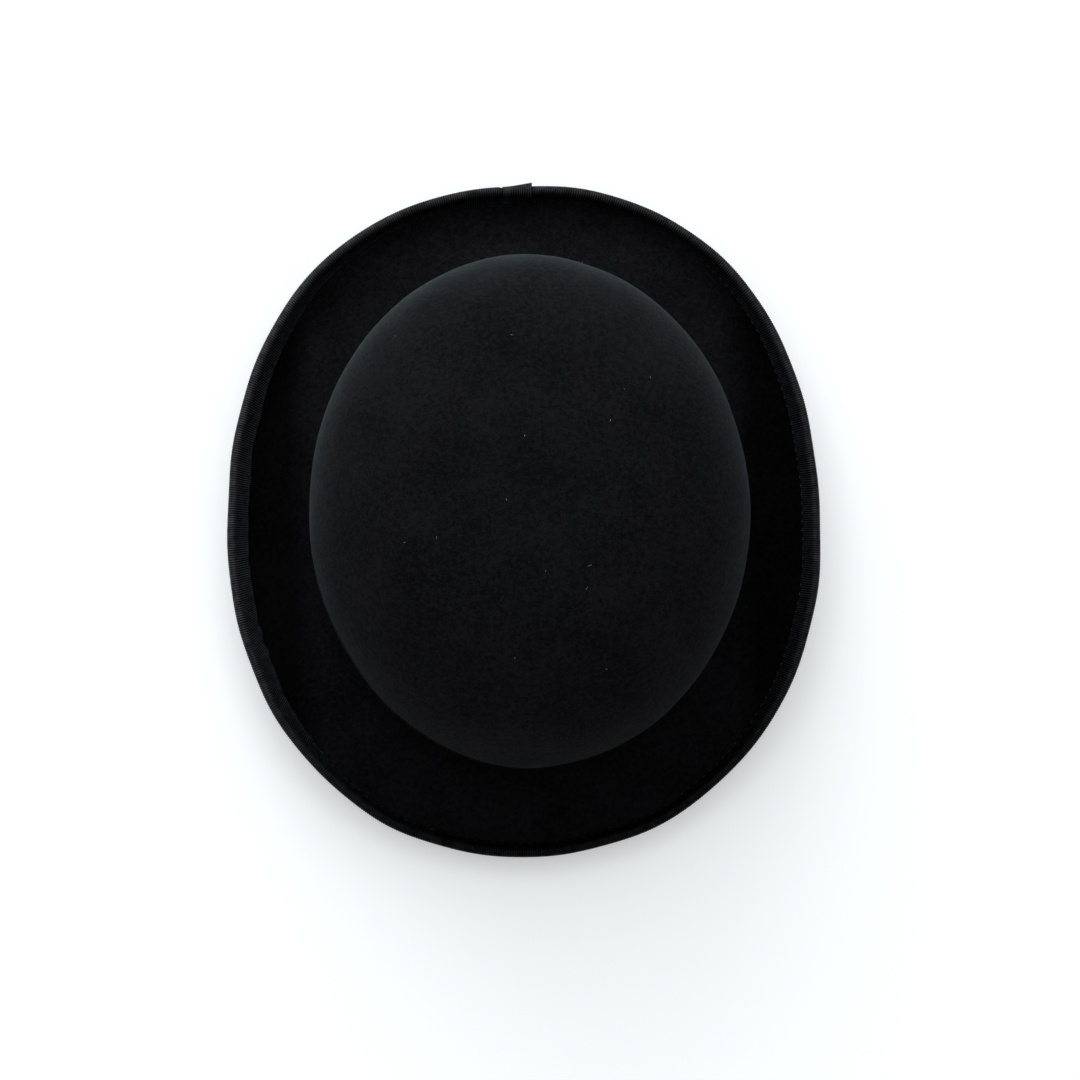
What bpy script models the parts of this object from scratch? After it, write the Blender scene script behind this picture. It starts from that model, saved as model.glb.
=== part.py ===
"""A felt bowler hat: +Z up, the front towards -Y, the wearer's left towards +X, standing on z = 0.

The crown is one shape and the brim is one section that changes round the hat. Every other piece is
placed on them: `height` is measured up from the brim junction, and `out` from the felt's outer face,
positive away from the head. All the layers share the same stations round the hat, so their facets
lie parallel and the gap between two layers stays the same.
"""

import math

import bmesh
import bpy
from mathutils import Vector

# ------------------------------------------------------------------ sizes, in metres

HEAD_LENGTH = 0.200  # inside the sweatband, front to back: with the width, a 58 cm head
HEAD_WIDTH = 0.1685  # inside the sweatband, side to side

CROWN_HEIGHT = 0.117  # junction to the top, at the front
BULGE_HEIGHT = 0.046  # where the crown is widest
CROWN_BULGE = 0.0025  # how far it stands out there, past the foot of the crown
DOME_FULLNESS = 2.3  # 2 is an ellipse, more has squarer shoulders
TOP_FLAT = 0.008  # half length of the level patch at the very top

SIDE_PROJECTION = 0.0375  # foot of the crown to the brim's outermost line, at the sides
END_PROJECTION = 0.039  # the same, at the front and the back
OUTLINE_FULLNESS = 2.17  # 2 is an ellipse
JUNCTION_RISE = 0.008  # how much higher the junction is at the sides than at the ends
END_DIP = 0.002  # how far the brim drops between the junction and its foot, at the ends
BREAK_RADIUS = 0.0035  # bend from crown to brim, at the middle of the felt
FOOT_STRIP = 0.006  # level strip of the brim, which is what the hat stands on
FOOT_HALF_ANGLE = math.radians(16)  # how far the foot runs to each side of front and back
SIDE_CURL_RADIUS = 0.023
SIDE_CURL_TURN = math.radians(60)
END_CURL_RADIUS = 0.0125
END_CURL_TURN = math.radians(88)

FELT = 0.0028
RIBBON = 0.0006  # grosgrain of the binding, the band and the bow
LEATHER = 0.0009
SATIN = 0.0004
TAPE = 0.0004  # folded tape round the reed
GAP = 0.0003  # clearance between two layers that touch on the real hat

BINDING_WIDTH = 0.0085  # on each side of the brim's edge
BAND_WIDTH = 0.028
BOW_WIDTH = 0.024  # the bow's ribbon, up and down
LOOP_LENGTH = 0.032  # middle of the bow to a loop's fold
LOOP_HOLLOW = 0.0006  # room inside a flattened loop
TAIL_LENGTH = 0.036  # middle of the bow to an end of the tail
KNOT_WIDTH = 0.013
KNOT_LIP = 0.004  # how far the knot's ribbon turns back behind the bow

SWEATBAND_WIDTH = 0.038
REED_DIAMETER = 0.0016
TAPE_HEIGHT = 0.007  # how far the tape runs up behind the sweatband
THREAD_DIAMETER = 0.0005
STITCH_HEIGHT = 0.004  # stitching line above the sweatband's lower edge
LABEL_LENGTH = 0.020
LABEL_WIDTH = 0.011
LABEL_OFFSET = 0.022  # from the sweatband's joint
INNER_BOW_HALF = 0.012
INNER_BOW_WING = 0.0035  # half height at its ends
INNER_BOW_WAIST = 0.0013  # half height at its knot
INNER_BOW_THICKNESS = 0.0012
INNER_BOW_HEIGHT = 0.012  # above the sweatband's lower edge

SEAM_ANGLE = math.radians(40)  # how far up the dome the lining's seam lies
PIPING_DIAMETER = 0.0020

# ------------------------------------------------------------------ divisions

STATIONS = 48  # a multiple of 4, so that some lie exactly at the front, the back and the sides
STEP = 2 * math.pi / STATIONS
DOME_STEPS = 10
DOME_STEP = math.pi / 2 / DOME_STEPS
WALL_STEPS = 4
STRIP_STEPS = 3
TUBE_SIDES = 6
ROUND_STEPS = 4
HALVINGS = 40  # of the search for the hat's outline
SAME_STATION = 1e-6  # two places this share of a step apart count as one
CREASE_ANGLE = math.radians(40)  # a bend that is sharper stays a crisp edge

# ------------------------------------------------------------------ places that follow from the sizes

BACKING = max(SATIN, TAPE)  # the layer between the felt and the sweatband
BACKING_OUT = -(FELT + GAP)
SWEATBAND_OUT = BACKING_OUT - BACKING - GAP
SWEATBAND_IN = SWEATBAND_OUT - LEATHER
FOOT_HALF_X = HEAD_WIDTH / 2 - SWEATBAND_IN
FOOT_HALF_Y = HEAD_LENGTH / 2 - SWEATBAND_IN
JUNCTION_LEVEL = END_DIP + FELT / 2  # puts the underside of the foot at z = 0
BOUND_EDGE = FELT / 2 + GAP + RIBBON  # middle of the felt to the binding's face

BAND_LOW = BREAK_RADIUS
BAND_OUT = GAP + RIBBON
BOW_LOW = BAND_LOW + (BAND_WIDTH - BOW_WIDTH) / 2
LIP_IN = BAND_OUT + GAP
TAIL_IN = LIP_IN + RIBBON + GAP
LOOP_IN = TAIL_IN + RIBBON + GAP
LOOP_OUT = LOOP_IN + 2 * RIBBON + LOOP_HOLLOW
KNOT_IN = LOOP_OUT + GAP

SWEATBAND_LOW = BREAK_RADIUS
TAPE_INNER_RADIUS = REED_DIAMETER / 2 + GAP
TAPE_OUTER_RADIUS = TAPE_INNER_RADIUS + TAPE
REED_OUT = BACKING_OUT - TAPE_OUTER_RADIUS
REED_HEIGHT = SWEATBAND_LOW - GAP - REED_DIAMETER / 2
TAPE_TOP = SWEATBAND_LOW + TAPE_HEIGHT
LINING_LOW = TAPE_TOP + GAP

BACK = math.pi / 2
WEARERS_LEFT = 0.0


# ------------------------------------------------------------------ the crown and the brim as shapes


def side_share(theta):
    """0 along the foot at the front and the back, rising smoothly to 1 at the sides."""
    flat = math.sin(FOOT_HALF_ANGLE) ** 2
    share = max(0.0, (math.cos(theta) ** 2 - flat) / (1 - flat))
    return share * share * (3 - 2 * share)


def between(end_value, side_value, theta):
    return end_value + (side_value - end_value) * side_share(theta)


def rise(theta):
    return between(0.0, JUNCTION_RISE, theta)


def crown_point(theta, height, out):
    dome_height = CROWN_HEIGHT - BULGE_HEIGHT - rise(theta)
    climb = (height - BULGE_HEIGHT) / dome_height
    if climb > 0:
        narrowing = (1 - climb**DOME_FULLNESS) ** (1 / DOME_FULLNESS)
        half_x = (FOOT_HALF_X + CROWN_BULGE) * narrowing
        half_y = (FOOT_HALF_Y + CROWN_BULGE) * narrowing
    else:
        up_wall = max(0.0, height - BREAK_RADIUS) / (BULGE_HEIGHT - BREAK_RADIUS)
        swell = CROWN_BULGE * (1 - (1 - up_wall) ** 2)
        half_x = FOOT_HALF_X + swell
        half_y = FOOT_HALF_Y + swell
    return Vector((
        (half_x + out) * math.cos(theta),
        (half_y + out) * math.sin(theta),
        JUNCTION_LEVEL + rise(theta) + height,
    ))


def dome_point(theta, climb_angle, out):
    """A point on the dome, from climb_angle 0 at the bulge to a right angle at the top."""
    across = math.cos(climb_angle) ** (2 / DOME_FULLNESS)
    up = math.sin(climb_angle) ** (2 / DOME_FULLNESS)
    dome_height = CROWN_HEIGHT - BULGE_HEIGHT - rise(theta)
    return Vector((
        (FOOT_HALF_X + CROWN_BULGE + out) * across * math.cos(theta),
        (FOOT_HALF_Y + CROWN_BULGE + out) * across * math.sin(theta),
        JUNCTION_LEVEL + rise(theta) + BULGE_HEIGHT + (dome_height + out) * up,
    ))


def top_point(theta, out):
    """The rim of the level patch at the very top."""
    return Vector((
        TOP_FLAT * FOOT_HALF_X / FOOT_HALF_Y * math.cos(theta),
        TOP_FLAT * math.sin(theta),
        JUNCTION_LEVEL + CROWN_HEIGHT + out,
    ))


def wall_foot(theta):
    """Where the middle of the felt stands in plan, and the direction square to it."""
    half_x = FOOT_HALF_X - FELT / 2
    half_y = FOOT_HALF_Y - FELT / 2
    place = Vector((half_x * math.cos(theta), half_y * math.sin(theta), 0))
    outward = Vector((math.cos(theta) / half_x, math.sin(theta) / half_y, 0)).normalized()
    return place, outward


def reach(theta):
    """From the middle of the crown's felt out to the hat's outline, square to the crown."""
    place, outward = wall_foot(theta)
    half_x = FOOT_HALF_X + SIDE_PROJECTION
    half_y = FOOT_HALF_Y + END_PROJECTION
    near, far = 0.0, 2 * (SIDE_PROJECTION + END_PROJECTION)
    for _ in range(HALVINGS):
        middle = (near + far) / 2
        spot = place + outward * middle
        fullness = abs(spot.x / half_x) ** OUTLINE_FULLNESS + abs(spot.y / half_y) ** OUTLINE_FULLNESS
        near, far = (middle, far) if fullness < 1 else (near, middle)
    return near


def brim_spots(theta):
    """The middle of the felt from the crown's foot to the brim's edge, as (out, up, lean) spots.

    The last ROUND_STEPS + 1 spots lie under the binding.
    """
    radius = between(END_CURL_RADIUS, SIDE_CURL_RADIUS, theta)
    turn = between(END_CURL_TURN, SIDE_CURL_TURN, theta)
    dip = between(END_DIP, 0.0, theta)
    edge = radius * math.sin(min(turn, math.pi / 2)) + BOUND_EDGE
    slope = reach(theta) - BREAK_RADIUS - FOOT_STRIP - edge

    spots = []
    for k in range(ROUND_STEPS):
        lean = -math.pi / 2 * (1 - k / ROUND_STEPS)
        spots.append((BREAK_RADIUS * (1 + math.sin(lean)), BREAK_RADIUS * (1 - math.cos(lean)), lean))
    for k in range(ROUND_STEPS + 1):
        share = k / ROUND_STEPS
        fall = math.pi * dip / 2 / slope * math.sin(math.pi * share)
        up = -dip * (1 - math.cos(math.pi * share)) / 2
        spots.append((BREAK_RADIUS + slope * share, up, -math.atan(fall)))
    start = BREAK_RADIUS + slope + FOOT_STRIP
    bound_turn = (BINDING_WIDTH - BOUND_EDGE) / radius
    free_turn = turn - bound_turn
    turns = [free_turn * k / ROUND_STEPS for k in range(ROUND_STEPS)]
    turns += [free_turn + bound_turn * k / ROUND_STEPS for k in range(ROUND_STEPS + 1)]
    for lean in turns:
        spots.append((start + radius * math.sin(lean), radius * (1 - math.cos(lean)) - dip, lean))
    return spots


def brim_point(theta, spot, off):
    """A point `off` above the middle of the felt, or below it where `off` is negative."""
    out, up, lean = spot
    place, outward = wall_foot(theta)
    flat = place + outward * (out - off * math.sin(lean))
    return Vector((flat.x, flat.y, JUNCTION_LEVEL + rise(theta) + up + off * math.cos(lean)))


def wrap_edge(theta, spots, off):
    """Over the upper side of the spots, round the brim's edge, and back along the lower side."""
    out, up, lean = spots[-1]
    points = [brim_point(theta, spot, off) for spot in spots]
    for k in range(1, ROUND_STEPS):
        angle = lean + math.pi / 2 - math.pi * k / ROUND_STEPS
        tip = (out + off * math.cos(angle), up + off * math.sin(angle), 0.0)
        points.append(brim_point(theta, tip, 0.0))
    return points + [brim_point(theta, spot, -off) for spot in reversed(spots)]


# ------------------------------------------------------------------ places between two stations


def on_facets(point_at, theta):
    """point_at(theta), read on the flat facet between the two nearest stations."""
    low = math.floor(theta / STEP + SAME_STATION)
    share = theta / STEP - low
    return point_at(low * STEP).lerp(point_at((low + 1) * STEP), share)


def crown_spot(theta, height, out):
    return on_facets(lambda station: crown_point(station, height, out), theta)


def stations_between(start, end):
    first = math.floor(start / STEP + SAME_STATION) + 1
    last = math.ceil(end / STEP - SAME_STATION)
    return [start] + [k * STEP for k in range(first, last)] + [end]


def steps(low, high, count):
    return [low + (high - low) * k / count for k in range(count + 1)]


# ------------------------------------------------------------------ making meshes


def material(name, color, roughness):
    made = bpy.data.materials.new(name)
    made.use_nodes = True
    shader = made.node_tree.nodes["Principled BSDF"]
    shader.inputs["Base Color"].default_value = (*color, 1.0)
    shader.inputs["Roughness"].default_value = roughness
    shader.inputs["Metallic"].default_value = 0.0
    return made


def skin(name, loops, surface, closed):
    """One solid from loops of equal length, each joined to the next.

    The last is joined to the first where closed is set, and otherwise both are filled.
    """
    mesh = bmesh.new()
    rows = [[mesh.verts.new(point) for point in loop] for loop in loops]
    count = len(rows[0])
    pairs = list(zip(rows, rows[1:]))
    if closed:
        pairs.append((rows[-1], rows[0]))
    else:
        mesh.faces.new(rows[0])
        mesh.faces.new(rows[-1])
    for row, following in pairs:
        for k in range(count):
            after = (k + 1) % count
            mesh.faces.new((row[k], row[after], following[after], following[k]))
    bmesh.ops.recalc_face_normals(mesh, faces=mesh.faces)
    data = bpy.data.meshes.new(name)
    mesh.to_mesh(data)
    mesh.free()
    data.shade_smooth()
    data.set_sharp_from_angle(angle=CREASE_ANGLE)
    data.materials.append(surface)
    made = bpy.data.objects.new(name, data)
    bpy.context.scene.collection.objects.link(made)
    return made


def ring(name, section, surface):
    """A closed section carried all the way round the hat."""
    return skin(name, [section(k * STEP) for k in range(STATIONS)], surface, closed=True)


def arc(name, section, start, end, surface):
    """A closed section carried from one angle to another, with flat ends."""
    loops = [section(theta) for theta in stations_between(start, end)]
    return skin(name, loops, surface, closed=False)


def shell(name, section, surface):
    """An open section from the outer face's top, round its lower edge, to the inner face's top."""
    sections = [section(k * STEP) for k in range(STATIONS)]
    return skin(name, list(zip(*sections)), surface, closed=False)


def wall_strip(low, high, inner, outer):
    """The section of a flat strip that lies along the crown's wall."""
    heights = steps(low, high, STRIP_STEPS)

    def section(theta):
        outside = [crown_spot(theta, height, outer) for height in heights]
        inside = [crown_spot(theta, height, inner) for height in reversed(heights)]
        return outside + inside

    return section


def tube(height, out, diameter):
    """The section of a cord that runs round the crown."""

    def section(theta):
        angles = [2 * math.pi * k / TUBE_SIDES for k in range(TUBE_SIDES)]
        return [
            crown_spot(theta, height + diameter / 2 * math.sin(a), out + diameter / 2 * math.cos(a))
            for a in angles
        ]

    return section


# ------------------------------------------------------------------ the pieces


def make_felt_body(felt):
    climbs = [k * DOME_STEP for k in range(DOME_STEPS)]
    wall = steps(BREAK_RADIUS, BULGE_HEIGHT, WALL_STEPS)[1:-1]

    def section(theta):
        outside = [top_point(theta, 0.0)]
        outside += [dome_point(theta, climb, 0.0) for climb in reversed(climbs)]
        outside += [crown_point(theta, height, 0.0) for height in reversed(wall)]
        inside = [crown_point(theta, height, -FELT) for height in wall]
        inside += [dome_point(theta, climb, -FELT) for climb in climbs]
        inside += [top_point(theta, -FELT)]
        return outside + wrap_edge(theta, brim_spots(theta), FELT / 2) + inside

    return shell("felt_body", section, felt)


def make_brim_binding(grosgrain):
    """Ribbon folded over the brim's edge, its two ends meeting at the back."""

    def exact_section(theta):
        bound = brim_spots(theta)[-(ROUND_STEPS + 1) :]
        outer = wrap_edge(theta, bound, BOUND_EDGE)
        inner = wrap_edge(theta, bound, BOUND_EDGE - RIBBON)
        return outer + inner[::-1]

    def section(theta):
        count = len(exact_section(0.0))
        return [on_facets(lambda station: exact_section(station)[k], theta) for k in range(count)]

    half_joint = GAP / 2 / (FOOT_HALF_X + SIDE_PROJECTION)
    return arc("brim_binding", section, BACK + half_joint, BACK + 2 * math.pi - half_joint, grosgrain)


def make_hat_band(grosgrain):
    """Ribbon round the foot of the crown, its two ends meeting under the bow."""
    section = wall_strip(BAND_LOW, BAND_LOW + BAND_WIDTH, GAP, BAND_OUT)
    half_joint = GAP / 2 / FOOT_HALF_Y
    start = WEARERS_LEFT + half_joint
    return arc("hat_band", section, start, WEARERS_LEFT + 2 * math.pi - half_joint, grosgrain)


def make_bow_tail(grosgrain):
    section = wall_strip(BOW_LOW, BOW_LOW + BOW_WIDTH, TAIL_IN, TAIL_IN + RIBBON)
    half = TAIL_LENGTH / FOOT_HALF_Y
    return arc("bow_tail", section, WEARERS_LEFT - half, WEARERS_LEFT + half, grosgrain)


def make_bow_loop(name, side, grosgrain):
    """A flattened loop, open above and below. side is 1 towards the back and -1 towards the front."""

    def outline(height, start, end, inner, outer):
        thetas = stations_between(start / FOOT_HALF_Y, end / FOOT_HALF_Y)
        fold = thetas[-1] + (outer - inner) / 2 / FOOT_HALF_Y
        path = [(theta, inner) for theta in thetas]
        path += [(fold, (inner + outer) / 2)]
        path += [(theta, outer) for theta in reversed(thetas)]
        return [crown_spot(WEARERS_LEFT + side * theta, height, out) for theta, out in path]

    whole = (GAP / 2, LOOP_LENGTH, LOOP_IN, LOOP_OUT)
    hollow = (GAP / 2 + RIBBON, LOOP_LENGTH - RIBBON / 2, LOOP_IN + RIBBON, LOOP_OUT - RIBBON)
    low, high = BOW_LOW, BOW_LOW + BOW_WIDTH
    loops = [outline(low, *whole), outline(high, *whole), outline(high, *hollow), outline(low, *hollow)]
    return skin(name, loops, grosgrain, closed=True)


def make_bow_knot(grosgrain):
    """Ribbon wrapped over the middle of the bow, its ends turned in behind the tail."""
    low = BOW_LOW - GAP
    high = BOW_LOW + BOW_WIDTH + GAP
    outline = [
        (low - RIBBON, LIP_IN),
        (low + KNOT_LIP, LIP_IN),
        (low + KNOT_LIP, LIP_IN + RIBBON),
        (low, LIP_IN + RIBBON),
        (low, KNOT_IN),
        (high, KNOT_IN),
        (high, LIP_IN + RIBBON),
        (high - KNOT_LIP, LIP_IN + RIBBON),
        (high - KNOT_LIP, LIP_IN),
        (high + RIBBON, LIP_IN),
        (high + RIBBON, KNOT_IN + RIBBON),
        (low - RIBBON, KNOT_IN + RIBBON),
    ]

    def section(theta):
        return [crown_spot(theta, height, out) for height, out in outline]

    half = KNOT_WIDTH / 2 / FOOT_HALF_Y
    return arc("bow_knot", section, WEARERS_LEFT - half, WEARERS_LEFT + half, grosgrain)


def make_sweatband(leather):
    """A leather strip inside the crown, its two ends butted at the back."""
    section = wall_strip(SWEATBAND_LOW, SWEATBAND_LOW + SWEATBAND_WIDTH, SWEATBAND_IN, SWEATBAND_OUT)
    half_joint = GAP / 2 / FOOT_HALF_X
    return arc("sweatband", section, BACK + half_joint, BACK + 2 * math.pi - half_joint, leather)


def make_sweatband_reed(plastic):
    return ring("sweatband_reed", tube(REED_HEIGHT, REED_OUT, REED_DIAMETER), plastic)


def make_reed_tape(cotton):
    """Tape that hangs behind the sweatband and turns up under the reed."""
    angles = [-math.pi * k / ROUND_STEPS for k in range(ROUND_STEPS + 1)]

    def face(theta, radius):
        straight = [crown_point(theta, TAPE_TOP, REED_OUT + radius)]
        bend = [
            crown_point(theta, REED_HEIGHT + radius * math.sin(a), REED_OUT + radius * math.cos(a))
            for a in angles
        ]
        return straight + bend

    def section(theta):
        return face(theta, TAPE_OUTER_RADIUS) + face(theta, TAPE_INNER_RADIUS)[::-1]

    return ring("reed_tape", section, cotton)


def make_sweatband_stitching(thread):
    out = SWEATBAND_IN - GAP - THREAD_DIAMETER / 2
    section = tube(SWEATBAND_LOW + STITCH_HEIGHT, out, THREAD_DIAMETER)
    return ring("sweatband_stitching", section, thread)


def make_sweatband_bow(satin):
    """A small flat bow over the sweatband's joint, which marks the back."""
    near, far = SWEATBAND_IN - GAP, SWEATBAND_IN - GAP - INNER_BOW_THICKNESS
    middle = SWEATBAND_LOW + INNER_BOW_HEIGHT
    loops = []
    for theta in stations_between(BACK - INNER_BOW_HALF / FOOT_HALF_X, BACK + INNER_BOW_HALF / FOOT_HALF_X):
        spread = abs(theta - BACK) * FOOT_HALF_X / INNER_BOW_HALF
        half = INNER_BOW_WAIST + (INNER_BOW_WING - INNER_BOW_WAIST) * spread
        corners = ((middle - half, near), (middle + half, near), (middle + half, far), (middle - half, far))
        loops.append([crown_spot(theta, height, out) for height, out in corners])
    return skin("sweatband_bow", loops, satin, closed=False)


def make_size_label(cloth):
    """A small blank woven tab on the sweatband, beside its joint."""
    middle = SWEATBAND_LOW + SWEATBAND_WIDTH / 2
    near, far = SWEATBAND_IN - GAP, SWEATBAND_IN - GAP - SATIN
    section = wall_strip(middle - LABEL_WIDTH / 2, middle + LABEL_WIDTH / 2, far, near)
    start = BACK + LABEL_OFFSET / FOOT_HALF_X
    return arc("size_label", section, start, start + LABEL_LENGTH / FOOT_HALF_X, cloth)


def lining_climbs(start, end):
    """The felt dome's own divisions that lie between two climb angles, and both ends."""
    low = math.floor(start / DOME_STEP + SAME_STATION) + 1
    high = math.ceil(end / DOME_STEP - SAME_STATION)
    return [start] + [k * DOME_STEP for k in range(low, high)] + [end]


def seam_clearance():
    """How far up or down the dome the lining stops from the middle of its seam, as an angle."""
    return (PIPING_DIAMETER / 2 + GAP) / (CROWN_HEIGHT - BULGE_HEIGHT)


def make_lining_side(satin):
    heights = steps(LINING_LOW, BULGE_HEIGHT, STRIP_STEPS)[:-1]
    climbs = lining_climbs(0.0, SEAM_ANGLE - seam_clearance())

    def section(theta):
        faces = []
        for out in (BACKING_OUT, BACKING_OUT - SATIN):
            wall = [crown_point(theta, height, out) for height in heights]
            faces.append(wall + [dome_point(theta, climb, out) for climb in climbs])
        return faces[0] + faces[1][::-1]

    return ring("lining_side", section, satin)


def make_lining_tip(satin):
    climbs = lining_climbs(SEAM_ANGLE + seam_clearance(), math.pi / 2 - DOME_STEP)

    def section(theta):
        outside = [top_point(theta, BACKING_OUT)]
        outside += [dome_point(theta, climb, BACKING_OUT) for climb in reversed(climbs)]
        inside = [dome_point(theta, climb, BACKING_OUT - SATIN) for climb in climbs]
        return outside + inside + [top_point(theta, BACKING_OUT - SATIN)]

    return shell("lining_tip", section, satin)


def make_lining_piping(satin):
    """The cord sewn in the seam between the lining's side and its tip."""
    radius = PIPING_DIAMETER / 2

    def section(theta):
        middle = dome_point(theta, SEAM_ANGLE, BACKING_OUT - radius)
        outward = Vector((middle.x, middle.y, 0)).normalized()
        points = []
        for k in range(TUBE_SIDES):
            angle = 2 * math.pi * k / TUBE_SIDES
            points.append(middle + radius * (outward * math.cos(angle) + Vector((0, 0, math.sin(angle)))))
        return points

    return ring("lining_piping", section, satin)


def make_hat():
    felt = material("black_felt", (0.006, 0.007, 0.008), 0.95)
    grosgrain = material("black_grosgrain", (0.012, 0.012, 0.014), 0.6)
    leather = material("brown_leather", (0.17, 0.075, 0.035), 0.5)
    plastic = material("clear_plastic_reed", (0.55, 0.52, 0.45), 0.4)
    cotton = material("black_cotton", (0.02, 0.02, 0.02), 0.9)
    thread = material("brown_thread", (0.10, 0.05, 0.03), 0.7)
    satin = material("ivory_satin", (0.70, 0.62, 0.48), 0.35)
    ribbon = material("brown_ribbon", (0.09, 0.04, 0.02), 0.5)

    make_felt_body(felt)
    make_brim_binding(grosgrain)
    make_hat_band(grosgrain)
    make_bow_tail(grosgrain)
    make_bow_loop("bow_back_loop", 1, grosgrain)
    make_bow_loop("bow_front_loop", -1, grosgrain)
    make_bow_knot(grosgrain)
    make_sweatband(leather)
    make_sweatband_reed(plastic)
    make_reed_tape(cotton)
    make_sweatband_stitching(thread)
    make_sweatband_bow(ribbon)
    make_size_label(satin)
    make_lining_side(satin)
    make_lining_tip(satin)
    make_lining_piping(satin)


for leftover in list(bpy.data.objects):
    bpy.data.objects.remove(leftover)
make_hat()
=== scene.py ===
"""A black felt bowler hat, seen from above: +Z up, the front towards -Y, the bow towards +X.

Every piece is placed by the same few shapes as the CAD: the crown, where `height` is measured up
from the brim junction, and the brim, where `t` runs out along the middle of the felt. `out` and
`off` are distances from the felt. All lengths are in metres.
"""

import math

import bpy
import numpy as np
from mathutils import Matrix, Vector


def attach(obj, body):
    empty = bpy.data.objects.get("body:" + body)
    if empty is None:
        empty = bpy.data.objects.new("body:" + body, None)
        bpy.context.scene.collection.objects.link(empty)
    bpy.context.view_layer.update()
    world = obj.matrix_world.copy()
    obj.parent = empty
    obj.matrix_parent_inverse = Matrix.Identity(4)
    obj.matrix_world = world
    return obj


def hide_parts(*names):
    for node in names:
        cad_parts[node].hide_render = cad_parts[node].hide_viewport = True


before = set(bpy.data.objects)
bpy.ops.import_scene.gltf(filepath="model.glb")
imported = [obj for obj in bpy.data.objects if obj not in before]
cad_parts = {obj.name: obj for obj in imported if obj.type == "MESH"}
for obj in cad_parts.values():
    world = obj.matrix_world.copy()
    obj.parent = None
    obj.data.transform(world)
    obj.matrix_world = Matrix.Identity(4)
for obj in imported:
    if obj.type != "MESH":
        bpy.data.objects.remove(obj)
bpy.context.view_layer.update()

# ------------------------------------------------------------------ sizes of the hat

HEAD_LENGTH = 0.200
HEAD_WIDTH = 0.1685
CROWN_HEIGHT = 0.117
BULGE_HEIGHT = 0.046
CROWN_BULGE = 0.0025
DOME_FULLNESS = 2.3
SIDE_PROJECTION = 0.0375
END_PROJECTION = 0.039
OUTLINE_FULLNESS = 2.17
JUNCTION_RISE = 0.008
END_DIP = 0.002
BREAK_RADIUS = 0.0035
FOOT_STRIP = 0.006
FOOT_HALF_ANGLE = math.radians(16)
SIDE_CURL_RADIUS = 0.023
SIDE_CURL_TURN = math.radians(60)
END_CURL_RADIUS = 0.0125
END_CURL_TURN = math.radians(88)

FELT = 0.0028
RIBBON = 0.0004
LEATHER = 0.0009
SATIN = 0.0004
TAPE = 0.0004
GAP = 0.0003

BINDING_WIDTH = 0.0085
BAND_WIDTH = 0.028
BOW_WIDTH = 0.024
LOOP_LENGTH = 0.032
TAIL_LENGTH = 0.036
KNOT_WIDTH = 0.013
SWEATBAND_WIDTH = 0.038
REED_DIAMETER = 0.0016
TAPE_HEIGHT = 0.007
STITCH_HEIGHT = 0.004
LABEL_LENGTH = 0.020
LABEL_WIDTH = 0.011
LABEL_OFFSET = 0.022
INNER_BOW_HALF = 0.012
INNER_BOW_HEIGHT = 0.012
SEAM_ANGLE = math.radians(40)
PIPING_DIAMETER = 0.0020

BACKING_OUT = -(FELT + GAP)
SWEATBAND_OUT = BACKING_OUT - TAPE - GAP
SWEATBAND_IN = SWEATBAND_OUT - LEATHER
FOOT_HALF_X = HEAD_WIDTH / 2 - SWEATBAND_IN
FOOT_HALF_Y = HEAD_LENGTH / 2 - SWEATBAND_IN
JUNCTION_LEVEL = END_DIP + FELT / 2
THIN_RIBBON = 0.00045  # the binding
BOUND_EDGE = FELT / 2 + 0.00005 + THIN_RIBBON
BAND_LOW = BREAK_RADIUS
BAND_OUT = 0.0005
BOW_MIDDLE = BAND_LOW + BAND_WIDTH / 2
SLACK = 0.00015  # air between the layers of the bow
TAIL_OUT = BAND_OUT + SLACK + RIBBON
LOOP_IN = TAIL_OUT + SLACK
LOOP_OUT = LOOP_IN + 2 * RIBBON + SLACK
KNOT_OUT = LOOP_OUT + SLACK + RIBBON
SWEATBAND_LOW = BREAK_RADIUS
REED_HEIGHT = SWEATBAND_LOW - GAP - REED_DIAMETER / 2
TAPE_INNER_RADIUS = REED_DIAMETER / 2 + GAP
REED_OUT = BACKING_OUT - TAPE_INNER_RADIUS - TAPE
TAPE_TOP = SWEATBAND_LOW + TAPE_HEIGHT
LINING_LOW = TAPE_TOP + GAP

QUARTER = math.pi / 2
TURN = 2 * math.pi
BACK = QUARTER
CURL_END = 4.0  # t at the felt's edge

RIB_PITCH = 0.001  # of the ribbons
RIB_DEPTH = 0.00020  # on the brim
FINE_RIB_DEPTH = 0.00012  # on the band and bow
RIB_COLUMNS = 4
BINDING_RIBS = 868
BAND_RIBS = 612
TAIL_RIBS = 72
LOOP_RIBS = 31
KNOT_RIBS = 24
LAP_START = BACK - 0.060  # the binding's first end, which lies on top
LAP_END = BACK + TURN + 0.032  # its second end, underneath
RUMPLED = math.radians(212)  # where the binding is most puckered

FLOOR_GLOW = 0.32
DOME_LIGHT = 1.7
DOME_LOW = 0.45
BLACK_LEVEL = 0.0008  # takes a thin haze off the darkest felt
CAMERA_PLACE = (-0.0861, -0.1241, 1.5356)
CAMERA_TARGET = (0.0061, -0.0100, 0.02)
CAMERA_ROLL = -0.0345

# ------------------------------------------------------------------ smooth unevenness


def smooth(value):
    value = np.clip(value, 0.0, 1.0)
    return value * value * (3 - 2 * value)


def waves(points, length, seed):
    """A smooth field through space, about -1 to 1, whose swells are about `length` apart."""
    chance = np.random.default_rng(seed)
    total = 0.0
    for _ in range(7):
        direction = chance.normal(size=3)
        direction /= np.linalg.norm(direction)
        pitch = TURN / length * chance.uniform(0.6, 1.5)
        total = total + np.sin(points @ direction * pitch + chance.uniform(0, TURN))
    return total / 3.2


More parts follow.
